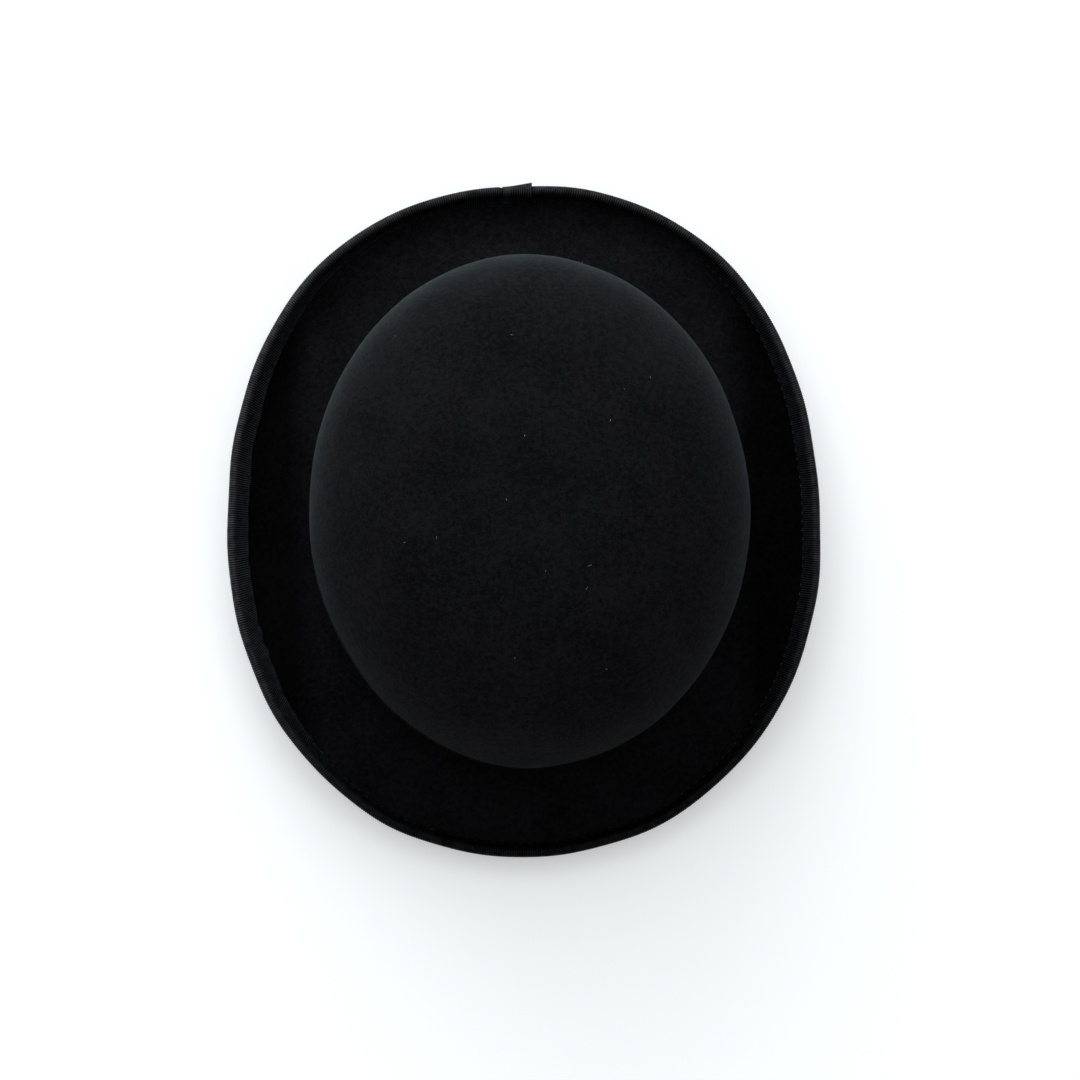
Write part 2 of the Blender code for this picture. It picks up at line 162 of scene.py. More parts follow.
def round_waves(theta, low, high, seed):
    """A smooth field round the hat, about -1 to 1, of `low` to `high` swells in a turn."""
    chance = np.random.default_rng(seed)
    total = 0.0
    for _ in range(7):
        count = chance.integers(low, high + 1)
        total = total + np.sin(theta * count + chance.uniform(0, TURN))
    return total / 3.2


def near(theta, middle, half):
    """1 at `middle`, falling to 0 at `half` on each side of it."""
    away = np.abs((theta - middle + math.pi) % TURN - math.pi)
    return smooth(1 - away / half)


# ------------------------------------------------------------------ the crown and the brim as shapes


def side_share(theta):
    flat = math.sin(FOOT_HALF_ANGLE) ** 2
    return smooth((np.cos(theta) ** 2 - flat) / (1 - flat))


def between(end_value, side_value, theta):
    return end_value + (side_value - end_value) * side_share(theta)


def rise(theta):
    return between(0.0, JUNCTION_RISE, theta)


def on_crown(theta, half_x, half_y, level, out):
    """Places on an oval, pushed `out`, with the crown's own slight unevenness."""
    theta, half_x, half_y, level, out = np.broadcast_arrays(theta, half_x, half_y, level, out)
    plain = np.stack([half_x * np.cos(theta), half_y * np.sin(theta), level], axis=-1)
    uneven = 0.00035 * waves(plain, 0.075, 11) + 0.00010 * waves(plain, 0.022, 12)
    out = out + uneven * smooth((level - 0.015) / 0.03)
    return np.stack([(half_x + out) * np.cos(theta), (half_y + out) * np.sin(theta), level], axis=-1)


def wall_point(theta, height, out):
    up_wall = np.maximum(0.0, height - BREAK_RADIUS) / (BULGE_HEIGHT - BREAK_RADIUS)
    swell = CROWN_BULGE * (1 - (1 - up_wall) ** 2)
    level = JUNCTION_LEVEL + rise(theta) + height
    return on_crown(theta, FOOT_HALF_X + swell, FOOT_HALF_Y + swell, level, out)


def dome_point(theta, climb, out):
    """On the dome, from climb 0 at the bulge to a right angle at the top."""
    theta, climb, out = np.broadcast_arrays(theta, climb, out)
    across = np.cos(climb).clip(0) ** (2 / DOME_FULLNESS)
    up = np.sin(climb).clip(0) ** (2 / DOME_FULLNESS)
    low = JUNCTION_LEVEL + rise(theta) + BULGE_HEIGHT
    plain = np.stack([
        (FOOT_HALF_X + CROWN_BULGE) * across * np.cos(theta),
        (FOOT_HALF_Y + CROWN_BULGE) * across * np.sin(theta),
        low + (JUNCTION_LEVEL + CROWN_HEIGHT - low) * up,
    ], axis=-1)
    out = out + 0.00035 * waves(plain, 0.075, 11) + 0.00010 * waves(plain, 0.022, 12)
    plain[..., 0] += out * across * np.cos(theta)
    plain[..., 1] += out * across * np.sin(theta)
    plain[..., 2] += out * up
    return plain


def wall_foot(theta):
    half_x = FOOT_HALF_X - FELT / 2
    half_y = FOOT_HALF_Y - FELT / 2
    place = np.stack([half_x * np.cos(theta), half_y * np.sin(theta)], axis=-1)
    outward = np.stack([np.cos(theta) / half_x, np.sin(theta) / half_y], axis=-1)
    return place, outward / np.linalg.norm(outward, axis=-1, keepdims=True)


def outline_drift(theta):
    """How far the hat's outline strays from its plain oval."""
    broad = -0.36 * np.cos(2 * theta) + 0.79 * np.sin(2 * theta) - 0.35 * np.cos(3 * theta)
    broad = broad - 0.17 * np.sin(3 * theta) - 0.17 * np.sin(4 * theta) - 0.45 * np.sin(5 * theta)
    return 0.001 * broad + 0.00022 * round_waves(theta, 9, 26, 22)


def find_reach(theta):
    """From the middle of the crown's felt out to the hat's outline, square to the crown."""
    place, outward = wall_foot(theta)
    near_end = np.zeros_like(theta)
    far_end = np.full_like(theta, 0.12)
    for _ in range(30):
        middle = (near_end + far_end) / 2
        spot = place + outward * middle[:, None]
        across = np.abs(spot[:, 0] / (FOOT_HALF_X + SIDE_PROJECTION)) ** OUTLINE_FULLNESS
        along = np.abs(spot[:, 1] / (FOOT_HALF_Y + END_PROJECTION)) ** OUTLINE_FULLNESS
        inside = across + along < 1
        near_end = np.where(inside, middle, near_end)
        far_end = np.where(inside, far_end, middle)
    return near_end + outline_drift(theta)


REACH_ANGLES = np.linspace(0.0, TURN, 1441)
REACH_TABLE = find_reach(REACH_ANGLES)


def reach(theta):
    return np.interp(np.mod(theta, TURN), REACH_ANGLES, REACH_TABLE)


def curl(theta):
    """The curl's radius and how far it turns, which is a little more on the side with the bow."""
    uneven = math.radians(2.5) + math.radians(6) * np.cos(theta)
    turn = between(END_CURL_TURN, SIDE_CURL_TURN, theta) + uneven * side_share(theta)
    return between(END_CURL_RADIUS, SIDE_CURL_RADIUS, theta), turn


def curl_length(theta):
    radius, turn = curl(theta)
    return radius * turn


def brim_line(theta, t):
    """The middle of the felt as out, up and lean.

    t is 0 to 1 over the bend from the crown, to 2 over the slope, to 3 over the foot and to 4 over
    the curl.
    """
    radius, turn = curl(theta)
    dip = between(END_DIP, 0.0, theta)
    whole = reach(theta)
    slope = whole - BREAK_RADIUS - FOOT_STRIP - radius * np.sin(np.minimum(turn, QUARTER)) - BOUND_EDGE

    bend = -QUARTER * (1 - np.clip(t, 0, 1))
    along = np.clip(t - 1, 0, 1)
    rolled = turn * np.clip(t - 3, 0, 1)
    out = BREAK_RADIUS * (1 + np.sin(bend)) + slope * along + FOOT_STRIP * np.clip(t - 2, 0, 1)
    out = out + radius * np.sin(rolled)
    up = BREAK_RADIUS * (1 - np.cos(bend)) - dip * (1 - np.cos(math.pi * along)) / 2
    up = up + radius * (1 - np.cos(rolled))
    lean = bend - np.arctan(math.pi * dip / 2 / slope * np.sin(math.pi * along)) + rolled
    uneven = 0.0007 * round_waves(theta, 2, 4, 31) + 0.00035 * round_waves(theta, 7, 15, 32)
    return out, up + uneven * (out / whole) ** 2 * side_share(theta), lean


def brim_place(theta, out, up):
    place, outward = wall_foot(theta)
    flat = place + outward * np.asarray(out)[..., None]
    level = JUNCTION_LEVEL + rise(theta) + up
    return np.concatenate([flat, level[..., None]], axis=-1)


def brim_point(theta, t, off):
    theta, t, off = np.broadcast_arrays(theta, t, off)
    out, up, lean = brim_line(theta, t)
    return brim_place(theta, out - off * np.sin(lean), up + off * np.cos(lean))


def edge_point(theta, angle, off):
    """Round the felt's edge: angle is 0 on the upper side and half a turn on the lower side."""
    theta, angle, off = np.broadcast_arrays(theta, angle, off)
    out, up, lean = brim_line(theta, np.full(theta.shape, CURL_END))
    swing = lean + QUARTER - angle
    return brim_place(theta, out + off * np.cos(swing), up + off * np.sin(swing))


# ------------------------------------------------------------------ making pieces


def build(
    name, points, finish, slot, wrap_rows=False, wrap_cols=False, caps=(), u=None, v=None, turned=False,
    replaces=None,
):
    """One object from a grid of points. caps names the rows or columns that are filled or closed.

    u runs along the columns and v along the rows, or the other way round where turned is set.
    """
    if turned:
        points = points.swapaxes(0, 1)
        wrap_rows, wrap_cols = wrap_cols, wrap_rows
        caps = [cap.replace("col", "row") if "col" in cap else cap.replace("row", "col") for cap in caps]
    rows, cols = points.shape[:2]
    index = np.arange(rows * cols).reshape(rows, cols)
    r = np.arange(rows if wrap_rows else rows - 1)
    c = np.arange(cols if wrap_cols else cols - 1)
    r, c = [grid.ravel() for grid in np.meshgrid(r, c, indexing="ij")]
    r_next, c_next = (r + 1) % rows, (c + 1) % cols
    quads = np.stack([index[r, c], index[r, c_next], index[r_next, c_next], index[r_next, c]], axis=-1)
    u = np.arange(cols + 1) / cols if u is None else np.append(u, 2 * u[-1] - u[-2])
    v = np.arange(rows + 1) / rows if v is None else np.append(v, 2 * v[-1] - v[-2])
    corners = np.stack([u[c], v[r], u[c + 1], v[r], u[c + 1], v[r + 1], u[c], v[r + 1]], axis=-1).ravel()

    faces = quads.tolist()
    verts = points.reshape(-1, 3)
    rims = {
        "first_row": index[0], "last_row": index[-1][::-1],
        "first_col": index[::-1, 0], "last_col": index[:, -1],
    }
    for cap in caps:
        rim = rims[cap]
        if wrap_cols and "row" in cap:
            centre = len(verts)
            verts = np.vstack([verts, verts[rim].mean(axis=0)])
            fan = [[int(rim[(k + 1) % len(rim)]), int(rim[k]), centre] for k in range(len(rim))]
            faces += fan
            corners = np.append(corners, np.zeros(6 * len(fan)))
        else:
            faces.append([int(k) for k in rim[::-1]])
            corners = np.append(corners, np.zeros(2 * len(rim)))

    halves = np.concatenate([verts[quads[:, [0, 1, 2]]], verts[quads[:, [0, 2, 3]]]])
    volume = np.einsum("ij,ij->i", halves[:, 0], np.cross(halves[:, 1], halves[:, 2])).sum()
    mesh = bpy.data.meshes.new(name)
    mesh.from_pydata(verts.tolist(), [], faces)
    layer = mesh.uv_layers.new(name="UVMap")
    layer.data.foreach_set("uv", corners)
    if volume < 0:
        mesh.flip_normals()
    mesh.shade_smooth()
    mesh.materials.append(finish)
    made = bpy.data.objects.new(name, mesh)
    bpy.context.scene.collection.objects.link(made)
    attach(made, "root")
    if replaces:
        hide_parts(replaces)
    return made


def strip_rows(low, high, count, inner, outer, hem=0.0):
    """(height, out) of a flat strip's section, its two long edges rounded and thickened by hem."""
    heights = np.linspace(low, high, count)
    thick = outer - inner
    bevel = thick * 0.35
    swell = np.zeros(count)
    swell[[1, -2]] = hem
    swell[[0, -1]] = hem - bevel
    outside = [(h, outer + s) for h, s in zip(heights, swell)]
    inside = [(h, inner) for h in heights[::-1][:: max(1, (count - 1) // 4)]]
    return outside + inside


def wall_piece(name, thetas, rows, finish, slot, wrap=False, push=None, u=None, v=None, **more):
    """A piece whose section is `rows` of (height, out), carried along the crown's wall."""
    theta = thetas[None, :]
    height = np.array([row[0] for row in rows])[:, None]
    out = np.array([row[1] for row in rows])[:, None]
    theta, height, out = np.broadcast_arrays(theta, height, out)
    if push is not None:
        height, out = push(theta, height, out)
    points = wall_point(theta, height, out)
    u = thetas * FOOT_HALF_Y if u is None else u
    v = np.array([row[0] for row in rows]) if v is None else v
    caps = () if wrap else ("first_col", "last_col")
    return build(name, points, finish, slot, wrap_rows=True, wrap_cols=wrap, caps=caps, u=u, v=v, **more)


def frames_along(path):
    """Two directions square to a closed path, at each of its points."""
    ahead = np.roll(path, -1, axis=0) - np.roll(path, 1, axis=0)
    ahead /= np.linalg.norm(ahead, axis=1, keepdims=True)
    side = np.cross(ahead, [0.0, 0.0, 1.0])
    side /= np.linalg.norm(side, axis=1, keepdims=True)
    return side, np.cross(side, ahead)


def cord_ring(name, path, radius, twist_length, depth, finish, slot, **more):
    """A closed cord of two plies that are twisted round each other."""
    side, over = frames_along(path)
    lengths = np.linalg.norm(np.roll(path, -1, axis=0) - path, axis=1)
    along = np.concatenate([[0.0], np.cumsum(lengths)[:-1]])
    turns = max(1, round(lengths.sum() / twist_length))
    around = np.linspace(0, TURN, 12, endpoint=False)[:, None]
    twist = around + along[None, :] / lengths.sum() * turns * math.pi
    thick = radius * (1 - depth + depth * np.abs(np.cos(twist)))
    points = path[None] + side[None] * (thick * np.cos(around))[..., None]
    points = points + over[None] * (thick * np.sin(around))[..., None]
    v = around[:, 0] * radius
    return build(name, points, finish, slot, wrap_rows=True, wrap_cols=True, u=along, v=v, **more)


def stitches(name, starts, ends, lift, radius, finish, replaces=None):
    """Short arched stitches of thread from starts to ends, raised along lift in the middle."""
    verts, faces = [], []
    share = np.array([0.0, 0.08, 0.3, 0.5, 0.7, 0.92, 1.0])
    size = np.array([0.45, 0.85, 1.0, 1.0, 1.0, 0.85, 0.45])
    arch = 4 * share * (1 - share)
    sides = 6
    for start, end, up in zip(starts, ends, lift):
        ahead = (end - start) / np.linalg.norm(end - start)
        across = np.cross(ahead, up)
        across /= np.linalg.norm(across)
        upward = np.cross(across, ahead)
        first = len(verts)
        for s, w, a in zip(share, size, arch):
            middle = start + (end - start) * s + upward * radius * (1.1 * a - 0.5)
            for k in range(sides):
                angle = TURN * k / sides
                verts.append(middle + radius * w * (across * math.cos(angle) + upward * math.sin(angle)))
        for i in range(len(share) - 1):
            for k in range(sides):
                a, b = first + i * sides + k, first + i * sides + (k + 1) % sides
                faces.append((a, b, b + sides, a + sides))
        last = first + (len(share) - 1) * sides
        faces.append(tuple(first + k for k in reversed(range(sides))))
        faces.append(tuple(last + k for k in range(sides)))
    mesh = bpy.data.meshes.new(name)
    mesh.from_pydata([tuple(point) for point in verts], [], faces)
    mesh.shade_smooth()
    mesh.materials.append(finish)
    made = bpy.data.objects.new(name, mesh)
    bpy.context.scene.collection.objects.link(made)
    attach(made, "root")
    if replaces:
        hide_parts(replaces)
    return made


# ------------------------------------------------------------------ materials


def add(tree, kind, sockets=None, **settings):
    made = tree.nodes.new(kind)
    for key, value in settings.items():
        setattr(made, key, value)
    for key, value in (sockets or {}).items():
        if isinstance(value, bpy.types.NodeSocket):
            tree.links.new(value, made.inputs[key])
        else:
            made.inputs[key].default_value = value
    return made


def principled(name, **values):
    made = bpy.data.materials.new(name)
    made.use_nodes = True
    shader = made.node_tree.nodes["Principled BSDF"]
    for key, value in values.items():
        shader.inputs[key.replace("_", " ")].default_value = value
    return made, made.node_tree, shader


def noise(tree, where, scale, detail=3.0, rough=0.55):
    sockets = {"Vector": where, "Scale": scale, "Detail": detail, "Roughness": rough}
    return add(tree, "ShaderNodeTexNoise", sockets).outputs["Fac"]


def stretched(tree, where, scale):
    return add(tree, "ShaderNodeMapping", {"Vector": where, "Scale": scale}).outputs["Vector"]


def spread(tree, value, low, high):
    sockets = {"Value": value, "From Min": 0.3, "From Max": 0.7, "To Min": low, "To Max": high}
    return add(tree, "ShaderNodeMapRange", sockets).outputs["Result"]


def ramp(tree, value, start, end, low, high):
    sockets = {"Value": value, "From Min": start, "From Max": end, "To Min": low, "To Max": high}
    return add(tree, "ShaderNodeMapRange", sockets).outputs["Result"]


def calc(tree, operation, first, second=0.5):
    return add(tree, "ShaderNodeMath", {0: first, 1: second}, operation=operation).outputs["Value"]


def times(tree, first, second):
    return calc(tree, "MULTIPLY", first, second)


def scaled(tree, color, factor):
    sockets = {0: color, "Scale": factor}
    return add(tree, "ShaderNodeVectorMath", sockets, operation="SCALE").outputs["Vector"]


def mixed(tree, share, dark, light):
    node = add(tree, "ShaderNodeMix", data_type="RGBA")
    tree.links.new(share, node.inputs["Factor"])
    node.inputs["A"].default_value = (*dark, 1)
    node.inputs["B"].default_value = (*light, 1)
    return node.outputs["Result"]


def bumps(tree, shader, *layers):
    """Each layer is a height, how deep it is in metres, and its strength."""
    normal = None
    for height, depth, strength in layers:
        sockets = {"Height": height, "Distance": depth, "Strength": strength}
        if normal is not None:
            sockets["Normal"] = normal
        normal = add(tree, "ShaderNodeBump", sockets).outputs["Normal"]
    tree.links.new(normal, shader.inputs["Normal"])


WAVE_RATE = 3.18  # bands in one unit of a wave texture whose scale is 1


def weave(tree, where, across, along):
    """The height of a plain weave whose threads are `across` and `along` apart."""
    parts = []
    for axis, pitch in (("X", across), ("Y", along)):
        sockets = {"Vector": where, "Scale": 1 / pitch / WAVE_RATE}
        sockets.update({"Distortion": 0.4, "Detail": 1.0, "Detail Scale": 2.0})
        parts.append(add(tree, "ShaderNodeTexWave", sockets, bands_direction=axis).outputs["Fac"])
    return calc(tree, "ADD", parts[0], parts[1])


def make_felt():
    """Black felt, with painted light on the back of the brim, painted shade on the brim's sides, and a
    painted sheen that is strongest at the back.
    """
    made, tree, shader = principled(
        "felt", Roughness=0.95, Specular_IOR_Level=0.03, Sheen_Weight=0.05, Sheen_Roughness=0.9,
        Sheen_Tint=(0.70, 0.93, 1.0, 1.0),
    )
    where = add(tree, "ShaderNodeTexCoord").outputs["Object"]
    cloudy = noise(tree, where, 42.0, 4.0)
    mottle = noise(tree, where, 520.0, 4.0, 0.65)
    grain = noise(tree, where, 1700.0, 3.0, 0.7)
    fibre = noise(tree, stretched(tree, where, (900.0, 900.0, 2600.0)), 1.0, 2.0)
    shade = calc(tree, "ADD", times(tree, cloudy, 0.18), times(tree, mottle, 0.40))
    shade = calc(tree, "ADD", shade, times(tree, grain, 0.42))
    color = mixed(tree, spread(tree, shade, -0.9, 1.9), (0.0040, 0.0040, 0.0045), (0.0104, 0.0102, 0.0112))
    place = add(tree, "ShaderNodeSeparateXYZ", {"Vector": where}).outputs
    aside = calc(tree, "ABSOLUTE", place["X"])
    low = ramp(tree, place["Z"], 0.034, 0.046, 1.0, 0.0)
    # Painted shade: the brim's sides, below the crown's band, are darkened in colour and in sheen.
    painted_side_shade = times(tree, ramp(tree, aside, 0.088, 0.100, 0.0, 0.6), low)
    # Painted light: the back of the brim is brightened in colour and in sheen.
    painted_back_light = times(tree, ramp(tree, place["Y"], 0.100, 0.116, 0.0, 0.5), low)
    # Painted light and shade together, applied to the felt's colour and to its sheen.
    painted_light_and_shade = calc(tree, "ADD", calc(tree, "SUBTRACT", painted_back_light, painted_side_shade), 1.0)
    tree.links.new(scaled(tree, color, painted_light_and_shade), shader.inputs["Base Color"])
    facing = add(tree, "ShaderNodeLayerWeight", {"Blend": 0.5}).outputs["Facing"]
    grazing = calc(tree, "POWER", facing, 2.6)
    nap = spread(tree, shade, 0.03, 0.09)
    # Painted sheen: the sheen weight rises from the front to the back and from the right to the left, towards
    # the light.
    painted_back_sheen = ramp(tree, place["Y"], -0.09, 0.09, 0.12, 1.3)
    painted_back_sheen = times(tree, painted_back_sheen, ramp(tree, place["X"], -0.09, 0.09, 1.0, 0.65))
    sheen = times(tree, times(tree, grazing, nap), times(tree, painted_back_sheen, painted_light_and_shade))
    tree.links.new(sheen, shader.inputs["Sheen Weight"])
    coarse = ((cloudy, 0.0012, 0.12), (mottle, 0.0005, 0.4))
    bumps(tree, shader, *coarse, (grain, 0.0003, 0.6), (fibre, 0.0002, 0.4))
    return made


def make_grosgrain():
    """Ribbon with one rib in each unit of U, with a painted glint on its ribs and painted shade between them.
    """
    made, tree, shader = principled("grosgrain", Roughness=0.45, Specular_IOR_Level=0.2, Sheen_Weight=0.0)
    coords = add(tree, "ShaderNodeTexCoord")
    grain = noise(tree, coords.outputs["Object"], 2400.0, 2.0, 0.7)
    cloudy = noise(tree, coords.outputs["Object"], 300.0, 3.0)
    across = add(tree, "ShaderNodeSeparateXYZ", {"Vector": coords.outputs["UV"]}).outputs["X"]
    rib = calc(tree, "ABSOLUTE", calc(tree, "SINE", times(tree, across, math.pi)))
    # Painted highlight on each rib's crest and painted shade in the grooves between the ribs.
    painted_rib_glint = times(tree, ramp(tree, rib, 0.60, 1.0, 0.0, 1.0), spread(tree, cloudy, 0.55, 1.0))
    color = mixed(tree, painted_rib_glint, (0.0020, 0.0020, 0.0023), (0.0360, 0.0362, 0.0385))
    place = add(tree, "ShaderNodeSeparateXYZ", {"Vector": coords.outputs["Object"]}).outputs
    # Painted shade towards the front and painted light on the left, on the ribbon's colour and its gloss.
    painted_light_and_shade = ramp(tree, place["Y"], -0.13, -0.02, 0.4, 1.0)
    painted_light_and_shade = times(tree, painted_light_and_shade, ramp(tree, place["X"], -0.12, -0.02, 1.5, 1.0))
    color = scaled(tree, color, painted_light_and_shade)
    facing = add(tree, "ShaderNodeLayerWeight", {"Blend": 0.5}).outputs["Facing"]
    flat_on = calc(tree, "SUBTRACT", 1.0, facing)
    gloss = times(tree, flat_on, times(tree, painted_light_and_shade, spread(tree, cloudy, 0.03, 0.15)))
    tree.links.new(gloss, shader.inputs["Specular IOR Level"])
    tree.links.new(color, shader.inputs["Base Color"])
    tree.links.new(spread(tree, grain, 0.30, 0.46), shader.inputs["Roughness"])
    threads = weave(tree, stretched(tree, coords.outputs["UV"], (0.001, 0.001, 0.001)), 0.00030, 0.00022)
    bumps(tree, shader, (threads, 0.00003, 0.5), (grain, 0.00008, 0.5))
    return made


def make_leather():
    made, tree, shader = principled(
        "sweatband_leather", Roughness=0.45, Specular_IOR_Level=0.5, Coat_Weight=0.08, Coat_Roughness=0.35,
    )
    where = add(tree, "ShaderNodeTexCoord").outputs["Object"]
    sockets = {"Vector": where, "Scale": 1500.0, "Randomness": 1.0}
    cells = add(tree, "ShaderNodeTexVoronoi", sockets, feature="DISTANCE_TO_EDGE").outputs["Distance"]
    creases = ramp(tree, cells, 0.0, 0.25, 0.0, 1.0)
    cloudy = noise(tree, where, 45.0, 5.0)
    fine = noise(tree, where, 4000.0, 2.0)
    color = mixed(tree, spread(tree, cloudy, 0.0, 1.0), (0.115, 0.047, 0.021), (0.205, 0.092, 0.043))
    tree.links.new(color, shader.inputs["Base Color"])
    tree.links.new(spread(tree, cloudy, 0.38, 0.56), shader.inputs["Roughness"])
    bumps(tree, shader, (cloudy, 0.0010, 0.15), (creases, 0.00010, 0.55), (fine, 0.00005, 0.4))
    return made


def make_satin():
    made, tree, shader = principled(
        "lining_satin", Roughness=0.36, Specular_IOR_Level=0.5, Sheen_Weight=0.3, Sheen_Roughness=0.35,
        Anisotropic=0.4,
    )
    coords = add(tree, "ShaderNodeTexCoord")
    cloudy = noise(tree, coords.outputs["Object"], 30.0, 4.0)
    slubs = noise(tree, stretched(tree, coords.outputs["UV"], (120.0, 2600.0, 1.0)), 1.0, 2.0)
    color = mixed(tree, spread(tree, cloudy, 0.0, 1.0), (0.60, 0.52, 0.39), (0.74, 0.67, 0.54))
    tree.links.new(color, shader.inputs["Base Color"])
    tree.links.new(spread(tree, slubs, 0.30, 0.44), shader.inputs["Roughness"])
    threads = weave(tree, coords.outputs["UV"], 0.00026, 0.00018)
    bumps(tree, shader, (slubs, 0.00008, 0.35), (threads, 0.00003, 0.35))
    return made


def make_cotton(name, dark, light, rough):
    made, tree, shader = principled(name, Roughness=rough, Specular_IOR_Level=0.3, Sheen_Weight=0.2)
    coords = add(tree, "ShaderNodeTexCoord")
    fuzz = noise(tree, coords.outputs["Object"], 1800.0, 3.0)
    tree.links.new(mixed(tree, spread(tree, fuzz, 0.0, 1.0), dark, light), shader.inputs["Base Color"])
    threads = weave(tree, coords.outputs["UV"], 0.00040, 0.00040)
    bumps(tree, shader, (threads, 0.00006, 0.5), (fuzz, 0.00006, 0.4))
    return made


def make_reed_plastic():
    made, tree, shader = principled(
        "reed_plastic", Roughness=0.35, Specular_IOR_Level=0.5, Subsurface_Weight=0.3, Subsurface_Scale=0.001,
    )
    where = add(tree, "ShaderNodeTexCoord").outputs["Object"]
    cloudy = noise(tree, where, 90.0, 3.0)
    color = mixed(tree, spread(tree, cloudy, 0.0, 1.0), (0.48, 0.45, 0.37), (0.60, 0.57, 0.50))
    tree.links.new(color, shader.inputs["Base Color"])
    bumps(tree, shader, (noise(tree, where, 900.0, 2.0), 0.00005, 0.3))
    return made


def make_floor_finish():
    made, _, shader = principled("floor_finish", Roughness=0.8, Specular_IOR_Level=0.2)
    shader.inputs["Base Color"].default_value = (0.86, 0.86, 0.86, 1)
    shader.inputs["Emission Color"].default_value = (1, 1, 1, 1)
    shader.inputs["Emission Strength"].default_value = FLOOR_GLOW
    return made


felt = make_felt()
grosgrain = make_grosgrain()
leather = make_leather()
satin = make_satin()
cotton_tape = make_cotton("cotton_tape", (0.012, 0.012, 0.013), (0.028, 0.028, 0.030), 0.9)
thread = make_cotton("thread", (0.075, 0.036, 0.020), (0.125, 0.064, 0.038), 0.7)
brown_ribbon = make_cotton("brown_ribbon", (0.070, 0.030, 0.014), (0.110, 0.050, 0.026), 0.5)
label_cloth = make_cotton("label_cloth", (0.62, 0.58, 0.50), (0.76, 0.72, 0.65), 0.6)
black_thread = make_cotton("black_thread", (0.008, 0.008, 0.009), (0.018, 0.018, 0.020), 0.6)
lint_fibre = make_cotton("lint_fibre", (0.16, 0.16, 0.16), (0.34, 0.34, 0.33), 0.8)
reed_plastic = make_reed_plastic()

# ------------------------------------------------------------------ the felt


def make_felt_body():
    theta = np.linspace(0, TURN, 360, endpoint=False)[None, :]
    climbs = np.linspace(QUARTER * 0.994, 0.0, 76)[:, None]
    heights = np.linspace(BULGE_HEIGHT, BREAK_RADIUS, 22)[1:-1, None]
    spots = np.concatenate([
        np.linspace(0, 1, 9)[:-1], np.linspace(1, 2, 15)[:-1], np.linspace(2, 3, 5)[:-1],
        np.linspace(3, CURL_END, 22),
    ])[:, None]
    around = np.linspace(0, math.pi, 7)[1:-1, None]
    points = np.concatenate([
        dome_point(theta, climbs, 0.0),
        wall_point(theta, heights, 0.0),
        brim_point(theta, spots, FELT / 2),
        edge_point(theta, around, FELT / 2),
        brim_point(theta, spots[::-1], -FELT / 2),
        wall_point(theta, heights[::-3], -FELT),
        dome_point(theta, climbs[::-6], -FELT),
    ])
    caps = ("first_row", "last_row")
    build("vis_felt_body", points, felt, "felt", wrap_cols=True, caps=caps, replaces="felt_body")


# ------------------------------------------------------------------ the ribbon on the brim's edge


def ribs(count, depth):
    """For `count` ribs side by side: how far along each column is, in ribs, and how high it stands."""
    number = np.linspace(0, count, RIB_COLUMNS * count + 1)
    return number, depth * np.sqrt(np.abs(np.sin(math.pi * number)))


def pucker(theta):
    """How the ribbon's free edge waves, from 0 to 1."""
    return 0.5 + 0.5 * round_waves(theta, 52, 118, 41)


def rumple(theta):
    return 0.22 + 0.78 * near(theta, RUMPLED, math.radians(38))


def lap_lift(theta):
    """How far the first end is raised where it lies on the second, which ends in a small dip."""
    raised = 0.0016 * np.clip(1 - (theta - LAP_START) / 0.085, 0, 1) ** 1.3
    return raised - 0.0004 * near(theta, BACK + 0.037, 0.008)


def binding_face(theta, distance, side, face):
    """On the ribbon, `distance` in from the felt's edge. side is 1 above the brim and -1 below."""
    share = distance / BINDING_WIDTH
    loose = pucker(theta) * rumple(theta)
    off = face - 0.0003 * smooth(share) + 0.00055 * loose * share**2 + lap_lift(theta)
    t = CURL_END - distance / curl_length(theta)
    return brim_point(theta, t, side * off)


